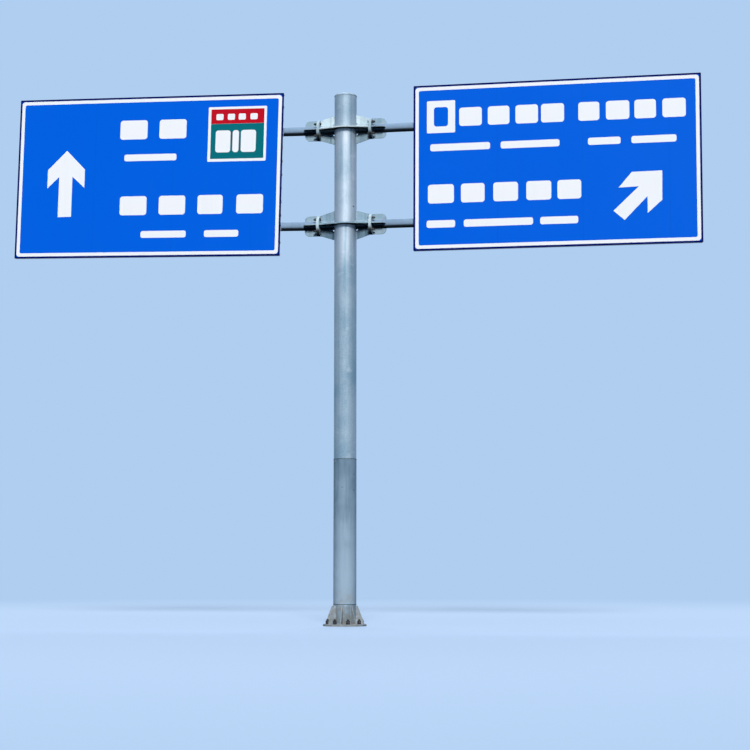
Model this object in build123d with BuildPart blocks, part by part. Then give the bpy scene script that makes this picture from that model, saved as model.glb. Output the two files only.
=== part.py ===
from build123d import *
import os
from math import acos, atan2, cos, hypot, radians, sin, sqrt

# Road sign gantry with one post and two signs, each carried by a pair of tubular arms.
# Millimetres. The origin is the middle of the base flange's underside, on the post's axis.
# +Z is up, the signs face -Y, the left sign lies toward -X and the right one toward +X.

# Post
post_d = 325.0
post_wall = 10.0
post_height = 7725.0
post_cap_rim = 14.0
post_cap_rise = 45.0
post_cap_t = 6.0
cable_hole_d = 24.0
cable_hole_below_top = 1670.0
cable_hole_turn = 58.5

# Base flange, its anchor holes and its gussets
base_d = 620.0
base_t = 28.0
base_edge_break = 3.0
anchor_count = 8
anchor_circle_d = 500.0
anchor_hole_d = 36.0
base_gusset_t = 12.0
base_gusset_height = 260.0
base_gusset_reach = 112.0
base_gusset_tip = 30.0
base_gusset_top = 25.0

# Sheet wrapped round the foot of the post against stickers
wrap_t = 2.0
wrap_top_z = 2380.0
wrap_clear_of_gussets = 20.0
wrap_seam_gap = 6.0

# Heights of the two pairs of arms at the post, set out from the post's top
upper_arm_below_top = 508.0
arm_spacing = 1420.0

# Brackets on the post
stub_wall = 8.0
joint_x = 388.0
flange_d = 300.0
flange_t = 20.0
flange_hole_count = 4
flange_hole_inset = 30.0
flange_hole_d = 26.0
ring_r = 245.0
ring_t = 18.0
post_gusset_t = 14.0
post_gusset_rise = 220.0
post_gusset_cope_r = 25.0

# Arms and the ribs that stiffen them at their flange
arm_d = 127.0
arm_wall = 6.0
arm_cap_t = 6.0
arm_end_inset = 260.0
arm_rib_t = 12.0
arm_rib_length = 200.0
arm_rib_corner_r = 70.0

# Signs: their sheet, and where each hangs
sign_w = 4110.0
sign_h = 2425.0
sign_mid_below_arm = 648.0
sheet_t = 3.0
sheet_corner_r = 12.0
sign_gap = {"left": 923.0, "right": 1035.0}
arm_rise = {"left": 1.29, "right": -0.24}

# Horizontal ribs on the back of each sheet
rib_w = 40.0
rib_depth = 50.0
rib_wall = 3.0
rib_pitch = 202.0
rib_rows = 5
rib_end_inset = 4.0
rib_edge_inset = 2.0

# Vertical rails behind the ribs, and the clamps that hold them to the arms
rail_w = 60.0
rail_depth = 30.0
rail_wall = 4.0
rail_count = 5
rail_side_inset = 330.0
rail_end_inset = 45.0
clamp_w = 44.0
clamp_t = 5.0
clamp_ear = 42.0

# Sizes that follow from the ones above
post_r = post_d / 2
arm_r = arm_d / 2
flange_r = flange_d / 2
flange_half_step = 180.0 / flange_hole_count
base_gusset_top_z = base_t + base_gusset_height
anchor_half_step = 180.0 / anchor_count
upper_arm_z = post_height - upper_arm_below_top
arm_z = {"upper": upper_arm_z, "lower": upper_arm_z - arm_spacing}
sign_mid_z = upper_arm_z - sign_mid_below_arm
cable_hole_z = post_height - cable_hole_below_top
flange_back_x = joint_x - flange_t
arm_start_x = joint_x + flange_t
rail_front = arm_r + rail_depth
rib_front = rail_front + rib_depth
arm_end = sign_w - arm_end_inset
side_of = {"left": -1, "right": 1}

os.makedirs("parts", exist_ok=True)


def save(piece, name):
    """Label the piece and write it as one file."""
    piece.part.label = name
    export_step(piece.part, f"parts/{name}.step")


def dome_point(out, depth):
    """Point of the cap's dome so far from the post's axis and so deep under its outside.

    The dome's outside is part of a ball through its top and its rim.
    """
    ball_r = (post_r**2 + post_cap_rise**2) / (2 * post_cap_rise)
    ball_z = post_height + post_cap_rise - ball_r
    return (out, ball_z + sqrt((ball_r - depth) ** 2 - out**2))


def outward(side):
    """The direction that this side's arms run in, away from the post."""
    slope = radians(arm_rise[side])
    return Vector(side_of[side] * cos(slope), 0, sin(slope))


def upward(side):
    """Square to the arms of this side and to Y, so the way the sign's edges point up."""
    slope = radians(arm_rise[side])
    return Vector(-side_of[side] * sin(slope), 0, cos(slope))


def across(side):
    """Along this side's arms, always toward +X."""
    return outward(side) * side_of[side]


def sign_origin(side):
    """Middle of the sign's inner edge, in the plane of the arms' axes."""
    return Vector(side_of[side] * sign_gap[side], 0, sign_mid_z)


def on_sign(side, along, up):
    """A point so far out from the sign's inner edge and so far above its middle."""
    return sign_origin(side) + outward(side) * along + upward(side) * up


def arm_root(side, level):
    """Where the arm's axis meets the outer face of its own flange."""
    return Vector(side_of[side] * arm_start_x, 0, arm_z[level])


def arm_up(side, level):
    """Height of the arm's axis above the sign's middle, square to the arms."""
    return (arm_root(side, level) - sign_origin(side)).dot(upward(side))


def arm_along(side, level):
    """How far the arm's root lies out from the sign's inner edge, so less than nothing."""
    return (arm_root(side, level) - sign_origin(side)).dot(outward(side))


# Base flange: a round plate with free holes for the anchor bolts
with BuildPart() as base_flange:
    with BuildSketch():
        Circle(base_d / 2)
        with PolarLocations(anchor_circle_d / 2, anchor_count, start_angle=anchor_half_step):
            Circle(anchor_hole_d / 2, mode=Mode.SUBTRACT)
    extrude(amount=base_t)
    top_rims = base_flange.edges().filter_by(GeomType.CIRCLE).group_by(Axis.Z)[-1]
    chamfer(top_rims.sort_by(SortBy.RADIUS)[-1], base_edge_break)
save(base_flange, "base_flange")

# Gussets between the post and the base flange, one between each two anchor bolts
with BuildPart() as base_gussets:
    with BuildSketch(Plane.XZ):
        with BuildLine():
            Polyline(
                (post_r - base_gusset_t, base_t),
                (post_r + base_gusset_reach, base_t),
                (post_r + base_gusset_reach, base_t + base_gusset_tip),
                (post_r + base_gusset_top, base_gusset_top_z),
                (post_r - base_gusset_t, base_gusset_top_z),
                close=True,
            )
        make_face()
    gusset_blank = extrude(amount=base_gusset_t / 2, both=True, mode=Mode.PRIVATE)
    with PolarLocations(0, anchor_count):
        add(gusset_blank)
    Cylinder(post_r, 2 * base_gusset_top_z, mode=Mode.SUBTRACT)
save(base_gussets, "base_gussets")

# Post: one straight tube, with a small cable hole high on its front right
with BuildPart() as post_tube:
    with BuildSketch(Plane.XY.offset(base_t)):
        Circle(post_r)
        Circle(post_r - post_wall, mode=Mode.SUBTRACT)
    extrude(amount=post_height - post_cap_rim - base_t)
    hole_turn = radians(cable_hole_turn)
    hole_way = Vector(sin(hole_turn), -cos(hole_turn), 0)
    with BuildSketch(Plane(origin=(0, 0, cable_hole_z), x_dir=(0, 0, 1), z_dir=hole_way)):
        Circle(cable_hole_d / 2)
    extrude(amount=post_d, mode=Mode.SUBTRACT)
save(post_tube, "post_tube")

# Cap welded on the post's top: a short rim and a shallow dome, pressed from one sheet
with BuildPart() as post_cap:
    cap_foot_z = post_height - post_cap_rim
    with BuildSketch(Plane.XZ):
        for depth, how in ((0, Mode.ADD), (post_cap_t, Mode.SUBTRACT)):
            top = dome_point(0, depth)
            edge = dome_point(post_r - depth, depth)
            with BuildLine():
                Polyline(top, (0, cap_foot_z), (post_r - depth, cap_foot_z), edge)
                ThreePointArc(edge, dome_point(post_r / 2, depth), top)
            make_face(mode=how)
    revolve(axis=Axis.Z)
save(post_cap, "post_cap")

# Wrap round the foot of the post: a thin sheet whose two edges meet at a seam behind
with BuildPart() as post_wrap:
    wrap_bottom_z = base_gusset_top_z + wrap_clear_of_gussets
    with BuildSketch(Plane.XY.offset(wrap_bottom_z)):
        Circle(post_r + wrap_t)
        Circle(post_r, mode=Mode.SUBTRACT)
        with Locations((0, post_r)):
            Rectangle(wrap_seam_gap, 4 * wrap_t, mode=Mode.SUBTRACT)
    extrude(amount=wrap_top_z - wrap_bottom_z)
save(post_wrap, "post_wrap")


def make_ring_plates(level):
    """Front and back halves of the plate round the post, tapering to the flanges' edges."""
    corner = hypot(flange_back_x, flange_r)
    tangent_turn = atan2(flange_r, flange_back_x) + acos(ring_r / corner)
    tangent_x = ring_r * cos(tangent_turn)
    tangent_y = ring_r * sin(tangent_turn)
    with BuildPart() as ring_plates:
        with BuildSketch(Plane.XY.offset(arm_z[level] - ring_t / 2)):
            Circle(ring_r)
            with BuildLine():
                Polyline(
                    (flange_back_x, flange_r),
                    (tangent_x, tangent_y),
                    (-tangent_x, tangent_y),
                    (-flange_back_x, flange_r),
                    (-flange_back_x, -flange_r),
                    (-tangent_x, -tangent_y),
                    (tangent_x, -tangent_y),
                    (flange_back_x, -flange_r),
                    close=True,
                )
            make_face()
        extrude(amount=ring_t)
        with Locations((0, 0, arm_z[level])):
            Cylinder(post_r, 4 * ring_t, mode=Mode.SUBTRACT)
            Cylinder(arm_r, 4 * joint_x, rotation=(0, 90, 0), mode=Mode.SUBTRACT)
    return ring_plates


def make_stub(side, level):
    """Short tube from the post's wall to the back of the post's flange."""
    run = Plane(origin=(0, 0, arm_z[level]), x_dir=(0, 1, 0), z_dir=(side_of[side], 0, 0))
    with BuildPart() as stub:
        with BuildSketch(run):
            Circle(arm_r)
            Circle(arm_r - stub_wall, mode=Mode.SUBTRACT)
        extrude(amount=flange_back_x)
        with Locations((0, 0, arm_z[level])):
            Cylinder(post_r, 2 * arm_d, mode=Mode.SUBTRACT)
    return stub


def make_post_gussets(side, level):
    """Upright gussets over and under the stub, deepest at the post.

    Each has a round cope in its corner, clear of the weld between the stub and the post.
    """
    flat = Plane(origin=(0, 0, arm_z[level]), x_dir=(side_of[side], 0, 0), z_dir=(0, -side_of[side], 0))
    inner_x = post_r - post_gusset_t
    with BuildPart() as post_gussets:
        with BuildSketch(flat):
            for way in (1, -1):
                with BuildLine():
                    Polyline(
                        (inner_x, 0),
                        (flange_back_x, 0),
                        (flange_back_x, way * flange_r),
                        (inner_x, way * post_gusset_rise),
                        close=True,
                    )
                make_face()
            with Locations((post_r, arm_r), (post_r, -arm_r)):
                Circle(post_gusset_cope_r, mode=Mode.SUBTRACT)
        extrude(amount=post_gusset_t / 2, both=True)
        with Locations((0, 0, arm_z[level])):
            Cylinder(post_r, 4 * post_gusset_rise, mode=Mode.SUBTRACT)
            Cylinder(arm_r, 4 * joint_x, rotation=(0, 90, 0), mode=Mode.SUBTRACT)
    return post_gussets


def make_flange(side, level, near_x):
    """Round plate whose bolt holes lie between the gussets, its near face at near_x."""
    face = Plane(
        origin=(side_of[side] * near_x, 0, arm_z[level]),
        x_dir=(0, 1, 0),
        z_dir=(side_of[side], 0, 0),
    )
    with BuildPart() as flange:
        with BuildSketch(face):
            Circle(flange_r)
            with PolarLocations(
                flange_r - flange_hole_inset, flange_hole_count, start_angle=flange_half_step
            ):
                Circle(flange_hole_d / 2, mode=Mode.SUBTRACT)
        extrude(amount=flange_t)
    return flange


def make_arm_ribs(side, level):
    """Four plates round the arm's root, each with a rounded outer corner."""
    root = arm_root(side, level)
    out = Vector(side_of[side], 0, 0)
    with BuildPart() as arm_ribs:
        for way in (Vector(0, 0, 1), Vector(0, 1, 0), Vector(0, 0, -1), Vector(0, -1, 0)):
            with BuildSketch(Plane(origin=root, x_dir=out, z_dir=out.cross(way))) as rib_outline:
                with Locations((arm_rib_length / 2, flange_r / 2)):
                    Rectangle(arm_rib_length, flange_r)
                outer_corner = rib_outline.vertices().group_by(Axis.Y)[-1].sort_by(Axis.X)[-1]
                fillet(outer_corner, arm_rib_corner_r)
            extrude(amount=arm_rib_t / 2, both=True)
        with BuildSketch(Plane(origin=root - outward(side) * arm_r, z_dir=outward(side))):
            Circle(arm_r)
        extrude(amount=2 * arm_rib_length, mode=Mode.SUBTRACT)
    return arm_ribs


def make_arm(side, level):
    """Tube from its flange, which it meets at a slight angle, to its end cap."""
    root = arm_root(side, level)
    length = arm_end - arm_cap_t - arm_along(side, level)
    with BuildPart() as arm:
        with BuildSketch(Plane(origin=root - outward(side) * arm_r, z_dir=outward(side))):
            Circle(arm_r)
            Circle(arm_r - arm_wall, mode=Mode.SUBTRACT)
        extrude(amount=length + arm_r)
        split(bisect_by=Plane(origin=root, z_dir=(side_of[side], 0, 0)), keep=Keep.TOP)
    return arm


def make_arm_cap(side, level):
    """Disc that closes the arm's outer end."""
    seat = on_sign(side, arm_end - arm_cap_t, arm_up(side, level))
    with BuildPart() as arm_cap:
        with BuildSketch(Plane(origin=seat, z_dir=outward(side))):
            Circle(arm_r)
        extrude(amount=arm_cap_t)
    return arm_cap


def rail_places():
    """How far out from the sign's inner edge each rail stands."""
    step = (sign_w - 2 * rail_side_inset) / (rail_count - 1)
    return [rail_side_inset + step * n for n in range(rail_count)]


def make_clamps(side, level):
    """Straps round the back of the arm, whose ears lie flat on the rails."""
    with BuildPart() as clamps:
        for along in rail_places():
            start = on_sign(side, along - clamp_w / 2, arm_up(side, level))
            with BuildSketch(Plane(origin=start, x_dir=(0, 1, 0), z_dir=outward(side))):
                Circle(arm_r + clamp_t)
                with Locations((-arm_r / 2, 0)):
                    Rectangle(arm_r, 2 * (arm_r + clamp_t))
                with Locations((-arm_r + clamp_t / 2, 0)):
                    Rectangle(clamp_t, 2 * (arm_r + clamp_ear))
                with Locations((-arm_r - clamp_t, 0)):
                    Rectangle(2 * clamp_t, 4 * arm_r, mode=Mode.SUBTRACT)
                Circle(arm_r, mode=Mode.SUBTRACT)
                with Locations((-arm_r / 2, 0)):
                    Rectangle(arm_r, arm_d, mode=Mode.SUBTRACT)
            extrude(amount=clamp_w)
    return clamps


def make_rails(side):
    """Upright channels, web toward the arms and lips toward the ribs."""
    with BuildPart() as rails:
        for along in rail_places():
            foot = on_sign(side, along, rail_end_inset - sign_h / 2)
            with BuildSketch(Plane(origin=foot, x_dir=across(side), z_dir=upward(side))):
                with Locations((0, -arm_r - rail_depth / 2)):
                    Rectangle(rail_w, rail_depth)
                with Locations((0, -arm_r - rail_wall - rail_depth / 2)):
                    Rectangle(rail_w - 2 * rail_wall, rail_depth, mode=Mode.SUBTRACT)
            extrude(amount=sign_h - 2 * rail_end_inset)
    return rails


def rib_heights():
    """Height of each horizontal rib above the sign's middle, the two edge ribs last."""
    edge = sign_h / 2 - rib_edge_inset - rib_w / 2
    return [rib_pitch * n for n in range(-rib_rows, rib_rows + 1)] + [-edge, edge]


def make_sign_ribs(side):
    """Extruded ribs of I section along the back of the sheet."""
    with BuildPart() as sign_ribs:
        for up in rib_heights():
            start = on_sign(side, rib_end_inset, up)
            with BuildSketch(Plane(origin=start, x_dir=(0, 1, 0), z_dir=outward(side))):
                with Locations((-rail_front - rib_depth / 2, 0)):
                    Rectangle(rib_depth, rib_wall)
                with Locations((-rail_front - rib_wall / 2, 0), (-rib_front + rib_wall / 2, 0)):
                    Rectangle(rib_wall, rib_w)
            extrude(amount=sign_w - 2 * rib_end_inset)
    return sign_ribs


def make_sign_sheet(side):
    """Flat aluminium sheet that carries the sign's face."""
    back = sign_origin(side) - Vector(0, rib_front, 0)
    with BuildPart() as sign_sheet:
        with BuildSketch(Plane(origin=back, x_dir=across(side), z_dir=(0, -1, 0))):
            with Locations((side_of[side] * sign_w / 2, 0)):
                RectangleRounded(sign_w, sign_h, sheet_corner_r)
        extrude(amount=sheet_t)
    return sign_sheet


for level in arm_z:
    save(make_ring_plates(level), f"{level}_ring_plates")
    for side in side_of:
        save(make_stub(side, level), f"{level}_{side}_stub")
        save(make_post_gussets(side, level), f"{level}_{side}_post_gussets")
        save(make_flange(side, level, flange_back_x), f"{level}_{side}_post_flange")
        save(make_flange(side, level, joint_x), f"{level}_{side}_arm_flange")
        save(make_arm_ribs(side, level), f"{level}_{side}_arm_ribs")
        save(make_arm(side, level), f"{level}_{side}_arm")
        save(make_arm_cap(side, level), f"{level}_{side}_arm_cap")
        save(make_clamps(side, level), f"{level}_{side}_clamps")

for side in side_of:
    save(make_rails(side), f"{side}_sign_rails")
    save(make_sign_ribs(side), f"{side}_sign_ribs")
    save(make_sign_sheet(side), f"{side}_sign_sheet")
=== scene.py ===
import bmesh
import bpy
import numpy as np
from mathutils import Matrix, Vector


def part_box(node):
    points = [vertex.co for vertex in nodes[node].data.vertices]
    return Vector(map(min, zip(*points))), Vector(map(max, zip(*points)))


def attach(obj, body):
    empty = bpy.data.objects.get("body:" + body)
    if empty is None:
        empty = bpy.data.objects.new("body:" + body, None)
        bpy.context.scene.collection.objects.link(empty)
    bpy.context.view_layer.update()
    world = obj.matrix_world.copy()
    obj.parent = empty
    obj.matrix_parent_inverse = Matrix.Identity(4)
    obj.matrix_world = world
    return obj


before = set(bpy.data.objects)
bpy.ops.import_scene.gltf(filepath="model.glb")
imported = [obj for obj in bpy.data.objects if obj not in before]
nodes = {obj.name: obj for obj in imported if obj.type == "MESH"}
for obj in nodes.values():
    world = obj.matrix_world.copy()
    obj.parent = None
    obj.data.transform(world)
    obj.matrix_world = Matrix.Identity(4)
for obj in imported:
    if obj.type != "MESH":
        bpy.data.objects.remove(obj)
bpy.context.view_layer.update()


# Post and cap
# One straight steel tube with a pressed cap welded on its top. The whole post went through the
# zinc bath after welding, and has since gone dull and blue-grey, with streaks where rain runs.

class Signal:
    """One output of a material's nodes. Arithmetic on it adds the Math nodes that work it out."""

    def __init__(self, socket):
        self.socket = socket

    def node(self, kind, settings, values, output=0):
        """Add a node of any kind: its settings come first, then each socket's number or link."""
        tree = self.socket.id_data
        added = tree.nodes.new(kind)
        for key, value in settings.items():
            setattr(added, key, value)
        for key, value in values.items():
            if isinstance(value, Signal):
                tree.links.new(value.socket, added.inputs[key])
            else:
                added.inputs[key].default_value = value
        return Signal(added.outputs[output]) if added.outputs else None

    def math(self, operation, first, second=0.0):
        """One Math node on two signals or numbers."""
        return self.node("ShaderNodeMath", {"operation": operation}, {0: first, 1: second})

    def __add__(self, other):
        return self.math("ADD", self, other)

    def __radd__(self, other):
        return self.math("ADD", other, self)

    def __sub__(self, other):
        return self.math("SUBTRACT", self, other)

    def __rsub__(self, other):
        return self.math("SUBTRACT", other, self)

    def __mul__(self, other):
        return self.math("MULTIPLY", self, other)

    def __rmul__(self, other):
        return self.math("MULTIPLY", other, self)

    def __truediv__(self, other):
        return self.math("DIVIDE", self, other)

    def __rtruediv__(self, other):
        return self.math("DIVIDE", other, self)

    def fraction(self):
        """What is left of the value above the whole number below it."""
        return self.math("FRACT", self)

    def away(self, middle):
        """How far the value is from the middle, never below zero."""
        return self.math("ABSOLUTE", self - middle)

    def step(self, low, high):
        """0 before low and 1 past high, in a smooth turn; low may be the greater of the two."""
        ends = {"Value": self, "From Min": low, "From Max": high}
        return self.node("ShaderNodeMapRange", {"interpolation_type": "SMOOTHSTEP"}, ends)

    def axis(self, number):
        """One coordinate of a place: 0, 1 and 2 for x, y and z."""
        return self.node("ShaderNodeSeparateXYZ", {}, {0: self}, number)

    def stretched(self, x, y, z):
        """The place with each coordinate multiplied, so that a pattern is fine or long that way."""
        factors = {0: self, 1: (x, y, z)}
        return self.node("ShaderNodeVectorMath", {"operation": "MULTIPLY"}, factors)

    def noise(self, scale, detail=3.0):
        """Cloudy noise about a half, with so many lumps to a metre."""
        return self.node("ShaderNodeTexNoise", {}, {"Vector": self, "Scale": scale, "Detail": detail})

    def crystals(self, scale):
        """A number from 0 to 1 that is one value all over each crystal, so many to a metre."""
        colour = self.node("ShaderNodeTexVoronoi", {}, {"Vector": self, "Scale": scale}, "Color")
        return self.node("ShaderNodeSeparateColor", {}, {0: colour})

    def mix(self, low, high):
        """The colour that runs from low to high while this value runs from 0 to 1."""
        return self.node("ShaderNodeMix", {"data_type": "RGBA"}, {0: self, 6: low, 7: high}, 2)

    def bump(self, depth, strength=1.0):
        """The normal of a surface that this value raises by up to depth."""
        sockets = {"Height": self, "Distance": depth, "Strength": strength}
        return self.node("ShaderNodeBump", {}, sockets)


def srgb(red, green, blue):
    """The shader's colour for screen values: each is undone from the screen's 2.4 power curve."""
    screen = np.array((red, green, blue)) / 255
    linear = np.where(screen > 0.04045, ((screen + 0.055) / 1.055) ** 2.4, screen / 12.92)
    return (*linear.tolist(), 1.0)


def new_finish(name):
    """A material with no shader yet, and the place on the part that its patterns follow."""
    material = bpy.data.materials.new(name)
    material.use_nodes = True
    material.node_tree.nodes.clear()
    coordinates = material.node_tree.nodes.new("ShaderNodeTexCoord")
    return material, Signal(coordinates.outputs["Object"])


def shade(place, sockets):
    """End a material in the common shader, with these numbers and links on its sockets."""
    shader = place.node("ShaderNodeBsdfPrincipled", {}, sockets)
    place.node("ShaderNodeOutputMaterial", {}, {"Surface": shader})


spray_from, spray_full = 5.9, 4.4
end_film_from, end_film_full = 7.1, 7.3
end_film_weight = 0.6
run_off_length = 1.1
# Painted shade below the ring plates: where it starts and where it is full, above the given height,
# and how strong it is.
shade_below_from, shade_below_full = 0.11, 0.03
shade_below_weight = 0.52
foot_dust_from, foot_dust_full = 0.55, 0.02
underside_shade_from, underside_shade_full = -0.25, -0.62
zinc_bloom = srgb(214, 219, 221)
foot_dust = srgb(128, 120, 106)
# Colour of the painted shade on faces that look down.
painted_underside_shade = srgb(20, 24, 28)


def galvanised(
    name,
    clean,
    dull,
    streaky=0.2,
    cloudy=0.4,
    gloss=0.03,
    grimy=0.0,
    bracket_heights=(),
    shade_below_height=0.0,
):
    """Matt zinc coat from a clean to a dull colour.

    Crystals, clouds and long upright streaks are added up to say how dull each place is. A film
    of dirt thrown up from below grows from 6 metres down, and a thinner one lies on the post's
    top end. Run-off under a bracket fades out over the metre below it, and splashed dust over
    the half metre above the foot. What lies below a given height is darker, with an edge that
    the streaks make ragged: painted shade from the plates above, with the dirt where rain
    doesn't reach.

    Gloss makes the coat metallic, so that it mirrors the sky broadly, and the film of dirt
    roughens it. Faces that look down are painted near black and lose their gloss: painted shade
    on the undersides.
    """
    material, place = new_finish(name)
    height = place.axis(2)
    crystals = place.crystals(90)
    clouds = place.noise(2.4, 5)
    streaks = place.stretched(19, 19, 0.6).noise(1, 4)
    grain = place.noise(420, 2)
    worn = clouds.step(0.32, 0.72) * cloudy + streaks.step(0.42, 0.74) * streaky + crystals * 0.12
    end_film = height.step(end_film_from, end_film_full) * end_film_weight
    smeared = height.step(spray_from, spray_full) + end_film
    ragged = height + streaks * 0.2
    # Below the given height the zinc is darker: painted shade cast by the ring plates above, with the
    # dirt where rain doesn't reach.
    shaded_below = ragged.step(shade_below_height + shade_below_from, shade_below_height + shade_below_full)
    worn = worn + smeared * grimy + shaded_below * shade_below_weight
    for bracket in bracket_heights:
        fading = height.step(bracket - run_off_length, bracket)
        below = fading * height.step(bracket + 0.01, bracket)
        worn = worn + below * streaks.step(0.44, 0.66) * 0.3
    bloom = place.noise(7, 5).step(0.6, 0.74) * 0.3
    dusty = height.step(foot_dust_from, foot_dust_full)
    dust = dusty * place.noise(16, 5).step(0.3, 0.7) * 0.75
    colour = worn.mix(clean, dull)
    colour = bloom.mix(colour, zinc_bloom)
    colour = dust.mix(colour, foot_dust)
    # Faces that look down are painted near black and lose their gloss: painted shade on the
    # undersides.
    facing = place.node("ShaderNodeTexCoord", {}, {}, "Normal").axis(2)
    underside_shade = facing.step(underside_shade_from, underside_shade_full) * 0.92
    colour = underside_shade.mix(colour, painted_underside_shade)
    rough = 0.58 + smeared * 0.1 + crystals * 0.06 + clouds * 0.1 + dust * 0.1
    relief = grain * 0.4 + crystals * 0.3 + clouds * 1.5
    shade(place, {
        "Base Color": colour,
        "Roughness": rough,
        "Metallic": gloss * (1 - dust * 0.8) * (1 - underside_shade),
        "Specular IOR Level": 0.0,
        "Normal": relief.bump(0.0006, 0.5),
    })
    return material


def dress(name, finish):
    """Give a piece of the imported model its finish."""
    nodes[name].data.materials.clear()
    nodes[name].data.materials.append(finish)


arm_heights = {
    level: sum(corner.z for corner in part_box(f"{level}_ring_plates")) / 2
    for level in ("upper", "lower")
}
post_steel = galvanised(
    "post_zinc",
    srgb(187, 194, 199),
    srgb(100, 138, 156),
    streaky=0.18,
    cloudy=0.3,
    gloss=0.8,
    grimy=0.36,
    bracket_heights=tuple(arm_heights.values()),
)
dress("post_tube", post_steel)
dress("post_cap", post_steel)


# Welds of the post
# Rippled fillet beads where the cap, the base flange and its gussets meet the tube. They were
# laid by hand before the zinc bath, so they have a coat of it too, a little duller.

def grid_faces(rows, columns, close_rows=False):
    """Squares of a grid of points, numbered row by row. Its last column joins its first."""
    numbers = np.arange(rows * columns).reshape(rows, columns)
    if close_rows:
        numbers = np.concatenate([numbers, numbers[:1]])
    numbers = np.concatenate([numbers, numbers[:, :1]], axis=1)
    corners = (numbers[:-1, :-1], numbers[1:, :-1], numbers[1:, 1:], numbers[:-1, 1:])
    return np.stack(corners, axis=-1).reshape(-1, 4).tolist()


def with_ends(rows, columns):
    """Faces of a tube shut at both ends: its squares, and one flat face on the first and last row."""
    first = list(range(columns))
    last = list(range((rows - 1) * columns, rows * columns))
    return grid_faces(rows, columns) + [first, last]


def joined(shells):
    """Several shells in one: their points in a row, and their faces counted on from each other."""
    points, faces, start = [], [], 0
    for shell_points, shell_faces in shells:
        points.append(shell_points)
        faces += [[start + corner for corner in face] for face in shell_faces]
        start += len(shell_points)
    return np.concatenate(points), faces


sharp_angle = np.radians(35)


def put(name, shell, finish):
    """Make a piece of the gantry out of closed shells, faces outward, at home in the part's frame."""
    points, faces = shell
    mesh = bpy.data.meshes.new(name)
    mesh.from_pydata(points.tolist(), [], faces)
    work = bmesh.new()
    work.from_mesh(mesh)
    bmesh.ops.recalc_face_normals(work, faces=work.faces)
    work.to_mesh(mesh)
    work.free()
    mesh.shade_smooth()
    mesh.set_sharp_from_angle(angle=sharp_angle)
    mesh.materials.append(finish)
    piece = bpy.data.objects.new(name, mesh)
    bpy.context.scene.collection.objects.link(piece)
    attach(piece, "root")


bead_sides = 8
bead_step = 0.003
drop_wave, hand_wave = 900, 137


def bead(path, reference, radius, closed=False):
    """Weld bead: a small circle carried along the path, in the plane square to it.

    Its radius swells and sinks with two sines of the length run, one for each drop of the weld
    and one for the welder's hand. An open bead's radius falls to nothing at both ends.
    """
    ahead = np.roll(path, -1, 0) - np.roll(path, 1, 0)
    if not closed:
        ahead[0] = path[1] - path[0]
        ahead[-1] = path[-1] - path[-2]
    ahead /= np.linalg.norm(ahead, axis=1)[:, None]
    side = np.cross(np.broadcast_to(reference, path.shape), ahead)
    side /= np.linalg.norm(side, axis=1)[:, None]
    over = np.cross(ahead, side)
    run = np.concatenate([[0], np.cumsum(np.linalg.norm(np.diff(path, axis=0), axis=1))])
    size = radius * (1 + 0.16 * np.sin(run * drop_wave) + 0.1 * np.sin(run * hand_wave + 1))
    if not closed:
        size *= np.clip(np.minimum(run, run[-1] - run) / radius, 0.05, 1) ** 0.5
    turn = np.linspace(0, 2 * np.pi, bead_sides, endpoint=False)[None, :, None]
    ring = np.cos(turn) * side[:, None, :] + np.sin(turn) * over[:, None, :]
    points = path[:, None, :] + size[:, None, None] * ring
    if closed:
        faces = grid_faces(len(path), bead_sides, close_rows=True)
    else:
        faces = with_ends(len(path), bead_sides)
    return points.reshape(-1, 3), faces


def line(start, end):
    """Points along a straight line, evenly spaced about a bead's step apart."""
    start, end = np.array(start, float), np.array(end, float)
    count = max(6, int(np.linalg.norm(end - start) / bead_step))
    return start + (end - start) * np.linspace(0, 1, count)[:, None]


def circle(centre, across, up, radius, spacing=bead_step):
    """Points round a circle: radius times the cosine one way and the sine the other."""
    count = int(2 * np.pi * radius / spacing)
    turn = np.linspace(0, 2 * np.pi, count, endpoint=False)[:, None]
    return np.array(centre) + radius * (np.cos(turn) * across + np.sin(turn) * up)


X, Y, Z = np.eye(3)
post_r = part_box("post_tube")[1].x
base_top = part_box("base_flange")[1].z
gusset_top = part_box("base_gussets")[1].z
gusset_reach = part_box("base_gussets")[1].x
gusset_half = 0.006
gusset_angle = 45
cap_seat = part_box("post_tube")[1].z
foot_weld = 0.006
foot_lift = 0.002
cap_weld = 0.0035
weld = 0.0045
weld_lift = 0.001
weld_stop = 0.004

weld_steel = galvanised("weld_zinc", srgb(184, 196, 204), srgb(120, 132, 142))
base_beads = [
    bead(circle((0, 0, base_top + foot_lift), X, Y, post_r + foot_lift), Z, foot_weld, closed=True),
    bead(circle((0, 0, cap_seat), X, Y, post_r), Z, cap_weld, closed=True),
]
for turn in np.radians(np.arange(0, 360, gusset_angle)):
    out = np.array((np.cos(turn), np.sin(turn), 0))
    for edge in (-1, 1):
        off = edge * gusset_half * np.array((-out[1], out[0], 0))
        foot = off + (base_top + weld_lift) * Z
        wall = off + (post_r + weld_lift) * out
        along_foot = line(foot + post_r * out, foot + (gusset_reach - weld_stop) * out)
        up_wall = line(wall + base_top * Z, wall + (gusset_top - weld_stop) * Z)
        base_beads.append(bead(along_foot, Z, weld))
        base_beads.append(bead(up_wall, out, weld))
put("post_welds", joined(base_beads), weld_steel)


# Base flange and gussets
# A round plate with eight triangular gussets that stand between its anchor bolts. It lies where
# water stands and dust gathers, so its zinc is duller than the post's.

base_steel = galvanised("base_zinc", srgb(168, 182, 192), srgb(104, 118, 130))
dress("base_flange", base_steel)
dress("base_gussets", base_steel)


# Anchor bolts
# Eight studs that stand out of the footing through the flange's free holes, each with a thick
# washer, a full nut and a lock nut. Dark, greased and weathered.

usual_pitch = 0.003


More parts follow.
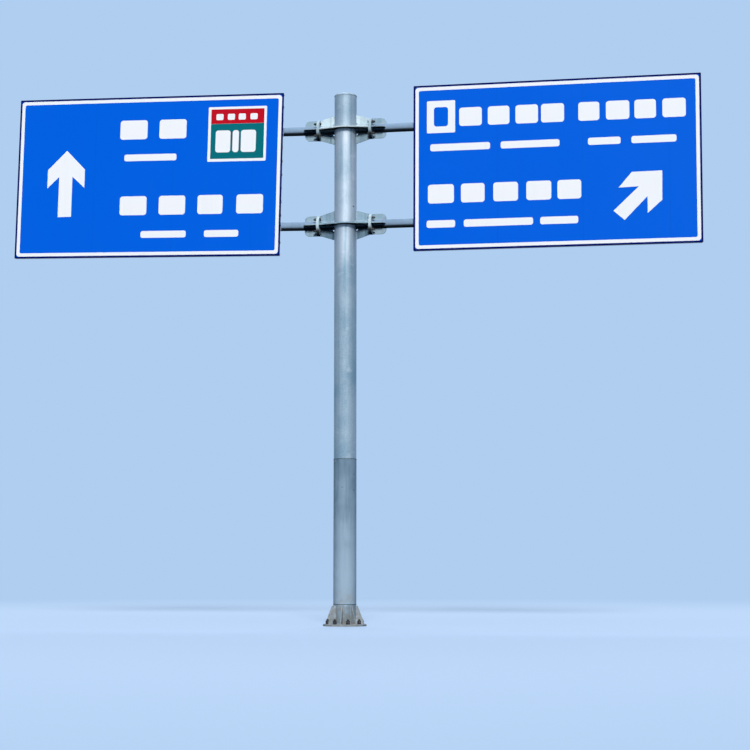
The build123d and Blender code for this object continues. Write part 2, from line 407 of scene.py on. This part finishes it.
def screwed(rows, pitch=usual_pitch):
    """Bolt, nut or washer about its own axis, each row a height, half its flats, limit and thread.

    The radius at an angle is the hexagon's, which is half the flats over the cosine of the angle
    from the middle of that flat, or the limit where that is less. A limit as small as half the
    flats makes it round. The thread takes off a saw tooth that climbs one pitch a turn.
    """
    height, flat, limit, thread = np.array(rows, float).T[:, :, None]
    turn = np.radians(np.arange(0, 360, 12))[None, :]
    wedge = np.radians(np.degrees(turn) % 60 - 30)
    radius = np.minimum(flat / np.cos(wedge), limit)
    climb = (height / pitch - turn / (2 * np.pi)) % 1
    radius = radius - thread * np.abs(2 * climb - 1)
    around = np.stack([radius * np.cos(turn), radius * np.sin(turn), height + 0 * turn], axis=-1)
    return around.reshape(-1, 3), with_ends(len(rows), turn.size)


def washer_rows(foot, thickness, radius):
    """A round disc with broken edges."""
    edge = 0.0008
    return [
        (foot, radius - edge, radius - edge, 0),
        (foot + edge, radius, radius, 0),
        (foot + thickness - edge, radius, radius, 0),
        (foot + thickness, radius - edge, radius - edge, 0),
    ]


def hexagon_rows(foot, thickness, flats, nut=False):
    """A hexagon whose corners are turned off at a slant, above and, on a nut, below too."""
    half = flats / 2
    corner = half * 1.155
    slant = thickness * 0.12
    low = half * 1.02 if nut else corner
    return [
        (foot, half, low, 0),
        (foot + slant, half, corner, 0),
        (foot + thickness - slant, half, corner, 0),
        (foot + thickness, half, half * 0.98, 0),
    ]


def thread_rows(foot, top, radius, depth, pitch):
    """A threaded end with four rows to a turn and a chamfered tip."""
    heights = np.arange(foot, top - 2 * depth, pitch / 4)
    rows = [(height, radius, radius, depth) for height in heights]
    tip = radius - 1.5 * depth
    return rows + [(top - 2 * depth, radius, radius, depth), (top, tip, tip, 0)]


def copies(shell, origins, ways):
    """The shell set down at every origin, with its axis along that place's way.

    Its other two axes are the cross products of the way with a slanted line, or with x where
    the way is upright, and of the way with the first of them.
    """
    points, faces = shell
    slanted = (0.31, 0.52, 0.79)
    shells = []
    for origin, way in zip(origins, ways):
        way = np.array(way, float)
        first = np.cross(way, slanted if abs(way[2]) < 0.9 else X)
        first /= np.linalg.norm(first)
        second = np.cross(way, first)
        shells.append((points @ np.stack([first, second, way]) + np.array(origin), faces))
    return joined(shells)


def bolt_finish(name, clean, dull):
    """Zinc gone dark under grease and dirt in cloudy patches."""
    material, place = new_finish(name)
    clouds = place.noise(46, 4)
    colour = clouds.step(0.35, 0.66).mix(clean, dull)
    shade(place, {
        "Base Color": colour,
        "Roughness": 0.5 + clouds * 0.25,
        "Metallic": 0.3,
        "Normal": place.noise(700, 2).bump(0.0003, 0.5),
    })
    return material


bolt_steel = bolt_finish("bolt_zinc", srgb(60, 62, 64), srgb(24, 26, 28))
anchor_count = 8
anchor_circle_r = 0.25
anchor_washer_t, anchor_washer_r = 0.006, 0.030
anchor_flats = 0.050
anchor_nut_t = 0.026
anchor_lock_foot, anchor_lock_t = 0.0325, 0.018
stud_top, stud_r = 0.072, 0.0165
stud_thread, stud_pitch = 0.0018, 0.0035
anchor_turns = np.radians(360 / anchor_count * (np.arange(anchor_count) + 0.5))
anchor_places = np.stack([
    anchor_circle_r * np.cos(anchor_turns),
    anchor_circle_r * np.sin(anchor_turns),
    np.full(anchor_count, base_top),
], axis=-1)
anchor = joined([
    screwed(washer_rows(0, anchor_washer_t, anchor_washer_r)),
    screwed(hexagon_rows(anchor_washer_t, anchor_nut_t, anchor_flats, nut=True)),
    screwed(hexagon_rows(anchor_lock_foot, anchor_lock_t, anchor_flats, nut=True)),
    screwed(thread_rows(0.0, stud_top, stud_r, stud_thread, stud_pitch), stud_pitch),
])
anchors = copies(anchor, anchor_places, [Z] * anchor_count)
put("anchor_bolts", anchors, bolt_steel)


# Wrap
# A thin grey sheet with small raised dots, wrapped round the foot of the post so that stickers
# don't hold. It is riveted along its seam behind, and closed above and below with dark sealant.

def wrap_finish(name):
    """Grey plastic with rows of raised dots, rubbed and smeared.

    The way round is the angle times the radius. A dot stands where the square of how far that is
    from the middle of its step, and the same for the height, are small together. Every other
    row is shifted by half a step.
    """
    material, place = new_finish(name)
    height = place.axis(2)
    around = place.math("ARCTAN2", place.axis(1), place.axis(0)) * wrap_r
    row = height / dot_step
    shift = ((row - row.fraction()) * 0.5).fraction()
    beside = (around / dot_step + shift).fraction().away(0.5)
    above = row.fraction().away(0.5)
    dots = (beside * beside + above * above).step(0.13, 0.04)
    clouds = place.noise(2.1, 5)
    runs = place.stretched(17, 17, 1.1).noise(1, 4)
    slants = place.stretched(5, 5, 2.2).noise(1.3, 5)
    worn = clouds.step(0.35, 0.7) * 0.4 + runs.step(0.42, 0.7) * 0.35
    worn = worn + height.step(rubbed_from, wrap_top) * 0.42 + slants.step(0.56, 0.68) * 0.25
    colour = worn.mix(srgb(142, 168, 188), srgb(90, 118, 138))
    spots = place.noise(11, 2).step(0.7, 0.76) * height.step(spots_from, spots_full) * 0.7
    colour = spots.mix(colour, srgb(66, 80, 84))
    pale = height.step(pale_from, pale_full) * 0.6
    colour = pale.mix(colour, srgb(158, 184, 204))
    dusty = height.step(splash_from, splash_full)
    dust = dusty * place.noise(12, 5).step(0.3, 0.7) * 0.5
    colour = dust.mix(colour, srgb(140, 132, 116))
    shade(place, {
        "Base Color": colour,
        "Roughness": 0.52 + clouds * 0.15,
        "Metallic": 0.0,
        "Normal": (dots + place.noise(300, 2) * 0.15).bump(0.0012, 0.6),
    })
    return material


wrap_low, wrap_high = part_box("post_wrap")
wrap_r = wrap_high.x
wrap_bottom, wrap_top = wrap_low.z, wrap_high.z
dot_step = 0.014
rubbed_from = 1.25
spots_from, spots_full = 1.7, 1.9
pale_from, pale_full = 1.7, 0.8
splash_from, splash_full = 0.6, 0.3
seal_r = 0.0042
seal_lift = 0.001
seal_step = 0.006
dress("post_wrap", wrap_finish("wrap_sheet"))

sealant, place = new_finish("wrap_sealant")
shade(place, {
    "Base Color": place.noise(40, 3).mix(srgb(44, 52, 56), srgb(74, 82, 84)),
    "Roughness": 0.6,
    "Normal": place.noise(160, 3).bump(0.001, 0.6),
})
wrap_edges = [
    bead(circle((0, 0, edge), X, Y, post_r + seal_lift, seal_step), Z, seal_r, closed=True)
    for edge in (wrap_top, wrap_bottom)
]
put("wrap_seals", joined(wrap_edges), sealant)


def dome_rows(radius, height):
    """A rivet's head: rows of a flattened ball, the radius a cosine and the height a sine."""
    turn = np.radians((0, 30, 60, 82))
    rows = [(-0.0004, radius, radius, 0)]
    return rows + [(height * np.sin(t), radius * np.cos(t), radius * np.cos(t), 0) for t in turn]


def small_round(rows, sides=10):
    """A round shape about its own axis, from rows of height and radius, with few sides."""
    height, radius = np.array(rows, float).T[:2, :, None]
    turn = np.linspace(0, 2 * np.pi, sides, endpoint=False)[None, :]
    around = np.stack([radius * np.cos(turn), radius * np.sin(turn), height + 0 * turn], axis=-1)
    return around.reshape(-1, 3), with_ends(len(rows), sides)


def aluminium(name, way, clean=(206, 210, 213), dull=(160, 166, 170)):
    """Bare extruded aluminium: fine lines along the way it was drawn, under a dull bloom."""
    material, place = new_finish(name)
    along = {"x": (1.2, 160, 160), "z": (160, 160, 1.2)}[way]
    lines = place.stretched(*along).noise(1, 4)
    clouds = place.noise(3.2, 5)
    worn = clouds.step(0.32, 0.7) * 0.6 + lines.step(0.35, 0.65) * 0.25
    colour = worn.mix(srgb(*clean), srgb(*dull))
    shade(place, {
        "Base Color": colour,
        "Roughness": 0.36 + clouds * 0.14 + lines * 0.08,
        "Metallic": 0.75,
        "Normal": lines.bump(0.0002, 0.6),
    })
    return material


rivet_metal = aluminium("rivet_aluminium", "z")
seam_step = 0.15
seam_half = 0.013
seam_foot, seam_head = 0.06, 0.03
seam_heights = np.arange(wrap_bottom + seam_foot, wrap_top - seam_head, seam_step)
seam_turns = np.radians(90) + np.array((-seam_half, seam_half)) / wrap_r
seam_places = [
    (wrap_r * np.cos(turn), wrap_r * np.sin(turn), height)
    for height in seam_heights
    for turn in seam_turns
]
seam_ways = [(np.cos(turn), np.sin(turn), 0) for height in seam_heights for turn in seam_turns]
seam_rivet = small_round(dome_rows(0.0055, 0.0026))
put("wrap_rivets", copies(seam_rivet, seam_places, seam_ways), rivet_metal)


# Brackets
# Half plates round the post, and on each side a short stub with gussets and a round flange,
# all cut from plate and welded to the post. Below the ring plates they are painted darker: painted
# shade cast by the plates, with the dirt where rain doesn't reach. The flanges are one colour all
# round.

side_of = {"left": -1, "right": 1}
bracket_tones = {
    "upper": (srgb(220, 236, 240), srgb(114, 142, 158)),
    "lower": (srgb(160, 187, 202), srgb(64, 92, 112)),
}
bracket_steel = {}
for level, tones in bracket_tones.items():
    # Below its ring plates each bracket is painted darker: painted shade from the plates.
    shade_below_height = arm_heights[level]
    finish = galvanised(f"{level}_bracket_zinc", *tones, streaky=0.3, shade_below_height=shade_below_height)
    bracket_steel[level] = finish
flange_tones = (srgb(198, 219, 228), srgb(100, 128, 144))
flange_steel = galvanised("flange_zinc", *flange_tones, streaky=0.3)
for level in arm_heights:
    dress(f"{level}_ring_plates", bracket_steel[level])
    for side in side_of:
        for part in ("stub", "post_gussets"):
            dress(f"{level}_{side}_{part}", bracket_steel[level])
        dress(f"{level}_{side}_post_flange", flange_steel)


# Arms
# Two tubes to each side, each welded to its own round flange with four plate ribs at the root
# and a flat disc on its far end. The left arms rise a little, and the right ones droop. The ribs
# get none of the painted shade that lies below the ring plates, so they are one colour all over.

arm_steel = galvanised("arm_zinc", srgb(140, 165, 190), srgb(94, 117, 142), streaky=0.1)
rib_tones = (srgb(164, 190, 204), srgb(88, 116, 134))
root_steel = galvanised("arm_rib_zinc", *rib_tones, streaky=0.3)
for level in arm_heights:
    for side in side_of:
        dress(f"{level}_{side}_arm_flange", flange_steel)
        dress(f"{level}_{side}_arm_ribs", root_steel)
        for part in ("arm", "arm_cap"):
            dress(f"{level}_{side}_{part}", arm_steel)


# Welds of the brackets and arms
# Fillet beads on every joint of the brackets: round the post, along both sides of each gusset
# and rib, and round the stubs and arms at their flanges.

arm_slope = {"left": np.radians(1.29), "right": np.radians(-0.24)}
arm_r = 0.0635
flange_r = 0.15
joint_x = 0.388
flange_t = 0.020
flange_back = joint_x - flange_t
flange_face = joint_x + flange_t
cope_r = 0.025
ring_half = 0.009
post_gusset_half = 0.007
post_gusset_rise = 0.22
rib_half = 0.006
rib_length = 0.20
ring_weld = 0.005
saddle_points = 132


def stub_saddle(side, height):
    """Where the stub meets the post.

    Round the stub's axis the width is the sine and the height the cosine of the turn, and the
    reach is the post's radius for that width.
    """
    turn = np.linspace(0, 2 * np.pi, saddle_points, endpoint=False)
    width = arm_r * np.sin(turn)
    reach = np.sqrt(post_r**2 - width**2)
    return np.stack([side * reach, width, height + arm_r * np.cos(turn)], axis=-1)


def bracket_beads(side, level):
    """All the beads between the post and this joint's first flange."""
    sign = side_of[side]
    height = arm_heights[level]
    out = sign * X
    start = post_r - weld_lift
    plate_side = np.sqrt(arm_r**2 - ring_half**2)
    beads = [
        bead(stub_saddle(sign, height), X, weld, closed=True),
        bead(circle(flange_back * out + height * Z, Y, Z, arm_r), X, weld, closed=True),
    ]
    for way in (-1, 1):
        for edge in (-1, 1):
            plate = way * plate_side * Y + (height + edge * ring_half) * Z
            beads.append(bead(line(plate + start * out, plate + flange_back * out), Z, weld))
            lean = edge * post_gusset_half * Y
            foot = lean + (height + way * arm_r) * Z
            reach = lean + (height + way * post_gusset_rise) * Z
            tip = lean + (height + way * flange_r) * Z
            past_cope = foot + way * cope_r * Z + start * out
            beads.append(bead(line(past_cope, reach + start * out), Y, weld))
            beads.append(bead(line(foot + flange_back * out, tip + flange_back * out), Y, weld))
            beads.append(bead(line(foot + (start + cope_r) * out, foot + flange_back * out), Z, weld))
    return beads


def arm_beads(side, level):
    """All the beads between this joint's second flange, its arm and the arm's ribs."""
    out = side_of[side] * X
    run = out * np.cos(arm_slope[side]) + Z * np.sin(arm_slope[side])
    rise = -side_of[side] * X * np.sin(arm_slope[side]) + Z * np.cos(arm_slope[side])
    root = flange_face * out + arm_heights[level] * Z
    beads = [bead(circle(root, Y, Z, arm_r), X, weld, closed=True)]
    for way, across in ((rise, Y), (-rise, Y), (Y, Z), (-Y, Z)):
        for edge in (-1, 1):
            start = root + edge * rib_half * across
            near = start + arm_r * way
            along = run if across is Y else out
            beads.append(bead(line(near, near + (rib_length - weld_stop) * along), way, weld))
            beads.append(bead(line(near, start + (flange_r - weld_stop) * way), out, weld))
    return beads


for level, height in arm_heights.items():
    ring_beads = []
    for edge in (-1, 1):
        joint = circle((0, 0, height + edge * ring_half), X, Y, post_r + weld_lift)
        ring_beads.append(bead(joint, Z, ring_weld, closed=True))
    put(f"{level}_ring_welds", joined(ring_beads), weld_steel)
    for side in side_of:
        shells = bracket_beads(side, level) + arm_beads(side, level)
        put(f"{level}_{side}_welds", joined(shells), weld_steel)


# Flange bolts
# Four bolts hold each pair of flanges, on a circle between the gussets: heads and washers toward
# the post, and toward the sign a washer, a nut and a thinner lock nut with thread past it.

def turned_over(shell):
    """The shell half a turn about its first axis, so that its top points down."""
    return shell[0] * (1, -1, -1), shell[1]


bolt_circle_r = 0.12
bolt_half = bolt_circle_r * np.sqrt(0.5)
bolt_grip = 2 * flange_t
bolt_r = 0.012
bolt_flats = 0.036
washer_t, washer_r = 0.004, 0.022
head_t, nut_t = 0.015, 0.0195
lock_foot, lock_t = 0.024, 0.0125
bolt_stand, bolt_thread = 0.05, 0.0015
bolt_sunk = 0.002
bolt_head = joined([
    screwed(washer_rows(0, washer_t, washer_r)),
    screwed(hexagon_rows(washer_t, head_t, bolt_flats)),
])
bolt_nuts = joined([
    screwed([(-bolt_sunk, bolt_r, bolt_r, 0), (bolt_grip, bolt_r, bolt_r, 0)]),
    screwed(washer_rows(bolt_grip, washer_t, washer_r)),
    screwed(hexagon_rows(bolt_grip + washer_t, nut_t, bolt_flats, nut=True)),
    screwed(hexagon_rows(bolt_grip + lock_foot, lock_t, bolt_flats, nut=True)),
    screwed(thread_rows(bolt_grip, bolt_grip + bolt_stand, bolt_r, bolt_thread, usual_pitch)),
])
flange_bolt = joined([bolt_head, turned_over(bolt_nuts)])
for level, height in arm_heights.items():
    for side, sign in side_of.items():
        places = [
            (sign * flange_back, across, height + up)
            for across in (-bolt_half, bolt_half)
            for up in (-bolt_half, bolt_half)
        ]
        shell = copies(flange_bolt, places, [-sign * X] * 4)
        put(f"{level}_{side}_flange_bolts", shell, bolt_steel)


# Sign rails, ribs and clamps
# Aluminium extrusions on the back of each sign: thirteen level ribs, riveted to the sheet, and
# five upright channels behind them, which steel straps clamp to both arms.

sign_w, sign_h = 4.110, 2.425
sign_drop = 0.648
sign_middle = arm_heights["upper"] - sign_drop
sign_inner = {"left": -0.923, "right": 1.035}
rail_count = 5
rail_inset, rail_step = 0.330, 0.8625
clamp_ear_middle = 0.0845
ear_back = -0.0585
web_front = -0.0675
rib_metal = aluminium("rib_aluminium", "x")
rail_metal = aluminium("rail_aluminium", "z", (198, 203, 207), (150, 157, 162))
clamp_steel = galvanised("clamp_zinc", srgb(190, 196, 198), srgb(132, 140, 146))


def sign_frame(side):
    """The way along the sign's edges from left to right as it is read, the way up, and its corner.

    The corner is the top left one, in the plane of the arms' axes.
    """
    slope = side_of[side] * arm_slope[side]
    right = X * np.cos(slope) + Z * np.sin(slope)
    up = -X * np.sin(slope) + Z * np.cos(slope)
    middle = sign_inner[side] * X + sign_middle * Z
    left_edge = middle - (sign_w * right if side == "left" else 0)
    return right, up, left_edge + sign_h / 2 * up


def clamp_places(side, level):
    """Middle of each strap, on the arm's axis."""
    right, up, corner = sign_frame(side)
    root = side_of[side] * flange_face * X + arm_heights[level] * Z
    down = (corner - root) @ up
    along = rail_inset + rail_step * np.arange(rail_count)
    if side == "left":
        along = sign_w - along
    return corner - down * up + along[:, None] * right, up


clamp_flats = 0.019
clamp_washer_t, clamp_washer_r = 0.0025, 0.012
clamp_nut_t, clamp_head_t = 0.010, 0.0075
clamp_bolt_r, clamp_bolt_top = 0.006, 0.021
clamp_thread, clamp_pitch = 0.0009, 0.00175
clamp_sunk, clamp_overlap = 0.006, 0.001
clamp_shank = thread_rows(0.0, clamp_bolt_top, clamp_bolt_r, clamp_thread, clamp_pitch)
clamp_bolt = joined([
    screwed(washer_rows(0, clamp_washer_t, clamp_washer_r)),
    screwed(hexagon_rows(clamp_washer_t, clamp_nut_t, clamp_flats, nut=True)),
    screwed(clamp_shank, clamp_pitch),
])
clamp_head = joined([
    screwed([
        (-clamp_sunk, clamp_bolt_r, clamp_bolt_r, 0),
        (clamp_overlap, clamp_bolt_r, clamp_bolt_r, 0),
    ]),
    screwed(hexagon_rows(0.0, clamp_head_t, clamp_flats)),
])
for side in side_of:
    dress(f"{side}_sign_rails", rail_metal)
    dress(f"{side}_sign_ribs", rib_metal)
    for level in arm_heights:
        dress(f"{level}_{side}_clamps", clamp_steel)
        middles, up = clamp_places(side, level)
        holes = np.concatenate([middles - clamp_ear_middle * up, middles + clamp_ear_middle * up])
        nuts = copies(clamp_bolt, holes + ear_back * Y, [Y] * len(holes))
        heads = copies(clamp_head, holes + web_front * Y, [-Y] * len(holes))
        put(f"{level}_{side}_clamp_bolts", joined([nuts, heads]), bolt_steel)


# Rivets
# Solid aluminium rivets through the front flange of each rib and the sheet, one above and one
# below the rib's web in turn. Their heads are flush in the face, and their tails show behind.

rivet_step = 0.15
rivet_off = 0.012
rib_pitch = 0.202
sheet_back = -0.1435
rib_flange = 0.003
rivet_margin = 0.1
rivet_tail = small_round(dome_rows(0.005, 0.003), 8)
edge_rib_inset = 0.022
edge_rib = sign_h / 2 - edge_rib_inset
rib_heights = np.concatenate([rib_pitch * np.arange(-5, 6), (-edge_rib, edge_rib)])
for side in side_of:
    right, up, corner = sign_frame(side)
    count = int((sign_w - rivet_margin) / rivet_step) + 1
    along = sign_w / 2 + rivet_step * (np.arange(count) - (count - 1) / 2)
    lean = rivet_off * np.where(np.arange(count) % 2, 1, -1)
    down = sign_h / 2 - (rib_heights[:, None] + lean[None, :])
    places = corner + along[None, :, None] * right - down[:, :, None] * up
    places = places.reshape(-1, 3) + (sheet_back + rib_flange) * Y
    tails = copies(rivet_tail, places, [Y] * len(places))
    put(f"{side}_rivets", tails, rivet_metal)


# Sign sheet
# An aluminium sheet with blue reflecting film over its whole face, in upright lengths that lap
# at narrow seams. The film has a fine net of cells. Behind, the sheet is bare.

def on_face(place, side):
    """How far a place is from the sign's left edge and down from its top edge, in metres."""
    right, up, corner = sign_frame(side)
    x = place.axis(0) - float(corner[0])
    z = place.axis(2) - float(corner[2])
    across = x * float(right[0]) + z * float(right[2])
    down = x * float(-up[0]) + z * float(-up[2])
    return across, down


def film(name, side, tone, dusty, seamed=0.0):
    """Reflecting film over aluminium.

    Cells are a net of thin lines both ways on the slant. Seams are thin upright lines a roll
    apart. Dust lies in streaks that hang from the top edge and is thicker near the foot. The
    film is darker in a narrow band along the sheet's edges.
    """
    material, place = new_finish(name)
    across, down = on_face(place, side)
    net = ((across + down) / cell).fraction().away(0.5).step(0.44, 0.5)
    net = net + ((across - down) / cell).fraction().away(0.5).step(0.44, 0.5)
    seam = (across / roll_w).fraction().away(0.5).step(0.4984, 0.4994)
    streaks = place.stretched(16, 16, 0.9).noise(1, 4)
    clouds = place.noise(1.3, 4)
    dust = streaks.step(0.48, 0.75) * 0.04 + down.step(1.2, 2.5) * 0.03
    dust = dust + clouds.step(0.4, 0.7) * 0.03
    inside_x = sign_w / 2 - across.away(sign_w / 2)
    inside_y = sign_h / 2 - down.away(sign_h / 2)
    # A narrow darker band along the sheet's edges.
    rim = 1 - inside_x.step(rim_w, 2 * rim_w) * inside_y.step(rim_w, 2 * rim_w)
    colour = (dust * dusty).mix(srgb(*tone), film_dust)
    colour = (net * 0.04 + seam * seamed + rim).mix(colour, film_shade)
    front = place.node("ShaderNodeTexCoord", {}, {}, "Normal").axis(1).step(-0.4, -0.6)
    lines = place.stretched(1.2, 160, 160).noise(1, 4)
    bare = clouds.step(0.32, 0.7) * 0.6 + lines * 0.3
    bare = bare.mix(srgb(204, 208, 211), srgb(160, 166, 170))
    shade(place, {
        "Base Color": front.mix(bare, colour),
        "Roughness": 0.42 + clouds * 0.12 - front * 0.08,
        "Metallic": 0.75 - front * 0.75,
        "Specular IOR Level": 0.02,
        "Normal": (net * 0.3 + seam * seamed + lines * 0.3).bump(0.0003, 0.4),
    })
    return material


cell = 0.005
roll_w = 1.22
rim_w = 0.018
film_dust = srgb(150, 156, 160)
film_shade = srgb(3, 12, 84)
for side in side_of:
    blue = film(f"{side}_blue_film", side, (0, 97, 222), dusty=0.05, seamed=0.3)
    dress(f"{side}_sign_sheet", blue)


# Sign faces
# Cut pieces of white film on the blue: a border with rounded corners, an arrow, and plain blocks
# and bars where the legend goes. The left sign also has a small red and green route panel.

sheet_t = 0.003
face_y = sheet_back - sheet_t
film_t = 0.0006
block_share = (0.92, 0.62)
block_corner = 42
bar_share = 0.52
bar_corner = 0.6


def rounded(left, right, top, bottom, radius):
    """Outline of a rectangle with rounded corners: at each, a quarter circle about its centre."""
    turn = np.radians(np.arange(0, 91, 9))
    starts = np.radians((0, 90, 180, 270))
    turns = (starts[:, None] + turn[None, :]).ravel()
    centres = np.array([
        (right - radius, bottom - radius),
        (left + radius, bottom - radius),
        (left + radius, top + radius),
        (right - radius, top + radius),
    ])
    middle = np.repeat(centres, len(turn), axis=0)
    return middle + radius * np.stack([np.cos(turns), np.sin(turns)], axis=-1)


def set_on(side, outline, lift):
    """Points of an outline, in millimetres right and down on the face, at that lift off it."""
    right, up, corner = sign_frame(side)
    flat = np.array(outline, float) / 1000
    return corner + flat[:, :1] * right - flat[:, 1:] * up + (face_y - lift) * Y


def cut(side, outline, base=0.0):
    """A flat piece of film: its outline twice, a film's thickness apart, with both faces closed."""
    count = len(outline)
    points = np.concatenate([set_on(side, outline, base), set_on(side, outline, base + film_t)])
    return points, with_ends(2, count)


def hoop(side, outer, inner):
    """A ring of film: a square profile carried round between two outlines of as many points."""
    rows = [
        set_on(side, outer, 0.0),
        set_on(side, outer, film_t),
        set_on(side, inner, film_t),
        set_on(side, inner, 0.0),
    ]
    return np.concatenate(rows), grid_faces(4, len(outer), close_rows=True)


def block(left, right, top, bottom):
    """A plain block in the middle of the place that a character would have."""
    wide = (right - left) * block_share[0] / 2
    high = (bottom - top) * block_share[1] / 2
    x, y = (left + right) / 2, (top + bottom) / 2
    return rounded(x - wide, x + wide, y - high, y + high, block_corner)


def bar(left, right, top, bottom):
    """A plain bar along the middle of the place that a word would have."""
    high = (bottom - top) * bar_share / 2
    y = (top + bottom) / 2
    return rounded(left, right, y - high, y + high, high * bar_corner)


# Outlines, and the left, right, top and bottom of each block and bar, all in millimetres right
# and down from the face's top left corner.
width, height = sign_w * 1000, sign_h * 1000
border = [
    rounded(inset, width - inset, inset, height - inset, corner_r)
    for inset, corner_r in ((28, 48), (78, 26))
]
arrows = {
    "left": [
        (772, 792), (1064, 1085), (1064, 1362), (871, 1190), (871, 1802),
        (661, 1802), (661, 1190), (478, 1362), (478, 1085),
    ],
    "right": [
        (3555, 1381), (3129, 1387), (2942, 1606), (3226, 1597), (2867, 1935),
        (3023, 2072), (3345, 1742), (3346, 1982), (3550, 1802),
    ],
}
blocks = {
    "left": [
        (1583, 2044, 266, 732), (2193, 2649, 266, 732),
        (1613, 2067, 1419, 1879), (2221, 2665, 1419, 1879),
        (2820, 3239, 1419, 1879), (3413, 3854, 1419, 1879),
    ],
    "right": [
        (655, 1012, 268, 704), (1071, 1411, 268, 704), (1470, 1822, 268, 704),
        (1837, 2195, 268, 704), (2370, 2694, 268, 704), (2760, 3119, 268, 704),
        (3162, 3490, 268, 704), (3553, 3907, 268, 704),
        (197, 608, 1382, 1825), (679, 1051, 1382, 1825), (1146, 1532, 1382, 1825),
        (1620, 2007, 1382, 1825), (2065, 2431, 1382, 1825),
    ],
}
bars = {
    "left": [(1677, 2489, 825, 1020), (1971, 2671, 1986, 2183), (2950, 3474, 1986, 2183)],
    "right": [
        (247, 1116, 824, 1024), (1269, 2112, 824, 1024), (2517, 2977, 824, 1024),
        (3129, 3759, 824, 1024), (194, 610, 1940, 2145), (734, 1730, 1940, 2145),
        (1831, 2371, 1940, 2145),
    ],
}
for side in side_of:
    white = film(f"{side}_white_film", side, (244, 247, 250), dusty=0.6)
    put(f"{side}_border", hoop(side, *border), white)
    put(f"{side}_arrow", cut(side, arrows[side]), white)
    legend = [cut(side, block(*place)) for place in blocks[side]]
    legend += [cut(side, bar(*place)) for place in bars[side]]
    put(f"{side}_legend", joined(legend), white)

white = bpy.data.materials["left_white_film"]
red = film("red_film", "left", (193, 18, 36), dusty=0.1)
green = film("green_film", "left", (8, 110, 120), dusty=0.1)
panel = rounded(2966, 3858, 185, 1008, 18)
put("left_route_panel", cut("left", panel), white)
red_band = rounded(3008, 3820, 221, 440, 6)
put("left_route_band", cut("left", red_band, film_t), red)
green_field = rounded(3008, 3820, 441, 967, 6)
put("left_route_field", cut("left", green_field, film_t), green)
marks = [
    cut("left", rounded(start, start + 110, 292, 384, 20), 2 * film_t)
    for start in (3086, 3262, 3428, 3608)
]
marks += [
    cut("left", rounded(start, end, 540, 872, 40), 2 * film_t)
    for start, end in ((3084, 3312), (3344, 3440), (3472, 3700))
]
put("left_route_marks", joined(marks), white)

white = bpy.data.materials["right_white_film"]
right_blue = bpy.data.materials["right_blue_film"]
put("right_square", cut("right", rounded(197, 610, 235, 709, 20)), white)
square_mark = cut("right", rounded(300, 507, 330, 614, 40), film_t)
put("right_square_mark", square_mark, right_blue)


# Floor and surroundings
# A plain pale floor that runs into a pale backdrop without an edge. Its colour and the world's
# are what the camera and mirror-like surfaces see, and other light from them is dimmer.

backdrop = srgb(176, 206, 240)
ambient = (0.03, 0.07, 0.15, 1.0)
floor_r, floor_step = 90.0, 4.0
floor_drop = 0.0005
fade_from, fade_full = 9.0, 26.0


def seen_from(place):
    """1 for a ray from the camera, from a mirror-like surface or through glass, and else 0."""
    camera_ray = place.node("ShaderNodeLightPath", {}, {}, "Is Camera Ray")
    mirrored_ray = place.node("ShaderNodeLightPath", {}, {}, "Is Glossy Ray")
    clear_ray = place.node("ShaderNodeLightPath", {}, {}, "Is Transmission Ray")
    return camera_ray + mirrored_ray + clear_ray


floor_material, place = new_finish("floor")
seen = seen_from(place)
flat = place.stretched(1, 1, 0)
reach = flat.node("ShaderNodeVectorMath", {"operation": "LENGTH"}, {0: flat}, "Value")
near = seen.mix(srgb(26, 27, 28), srgb(188, 208, 232))
lit = place.node("ShaderNodeBsdfDiffuse", {}, {"Color": near})
plain = place.node("ShaderNodeEmission", {}, {"Color": backdrop, "Strength": seen})
share = reach.step(fade_from, fade_full) * 0.6 + 0.4
both = place.node("ShaderNodeMixShader", {}, {0: share, 1: lit, 2: plain})
place.node("ShaderNodeOutputMaterial", {}, {"Surface": both})

ring = circle((0, 0, -floor_drop), X, Y, floor_r, floor_step)
floor_mesh = bpy.data.meshes.new("floor")
floor_mesh.from_pydata(ring.tolist(), [], [list(range(len(ring)))])
floor_mesh.materials.append(floor_material)
floor = bpy.data.objects.new("floor", floor_mesh)
bpy.context.scene.collection.objects.link(floor)

world = bpy.data.worlds.new("surroundings")
world.use_nodes = True
world.node_tree.nodes.clear()
way = Signal(world.node_tree.nodes.new("ShaderNodeTexCoord").outputs["Generated"])
sky_colour = seen_from(way).mix(ambient, backdrop)
sky = way.node("ShaderNodeBackground", {}, {"Color": sky_colour, "Strength": 1.0})
way.node("ShaderNodeOutputWorld", {}, {"Surface": sky})
bpy.context.scene.world = world


# Lamps
# A key from the front, fairly low, a wide soft one overhead, and one straight behind for the
# backs of the signs.

def lamp(name, energy, spread, azimuth, height_angle):
    """A distant lamp: azimuth counts from the front toward the right, in degrees."""
    light = bpy.data.lights.new(name, "SUN")
    light.energy = energy
    light.angle = np.radians(spread)
    holder = bpy.data.objects.new(name, light)
    holder.rotation_euler = (np.radians(90 - height_angle), 0, np.radians(azimuth))
    bpy.context.scene.collection.objects.link(holder)


lamp("key", energy=3.2, spread=14, azimuth=13, height_angle=28)
lamp("top", energy=1.0, spread=60, azimuth=8, height_angle=78)
lamp("back", energy=1.5, spread=40, azimuth=192, height_angle=45)


# Camera
# Under a metre above the ground, on the right and far off, with its axis turned to the left and
# up as in the photograph.

camera_data = bpy.data.cameras.new("camera")
camera_data.lens = 87.92
camera_data.sensor_width = 36.0
camera_data.clip_end = 300.0
camera = bpy.data.objects.new("camera", camera_data)
camera.location = (5.572, -25.764, 0.805)
camera.rotation_euler = (np.radians(96.054), 0, np.radians(11.266))
bpy.context.scene.collection.objects.link(camera)
bpy.context.scene.camera = camera
bpy.context.scene.view_settings.view_transform = "Standard"
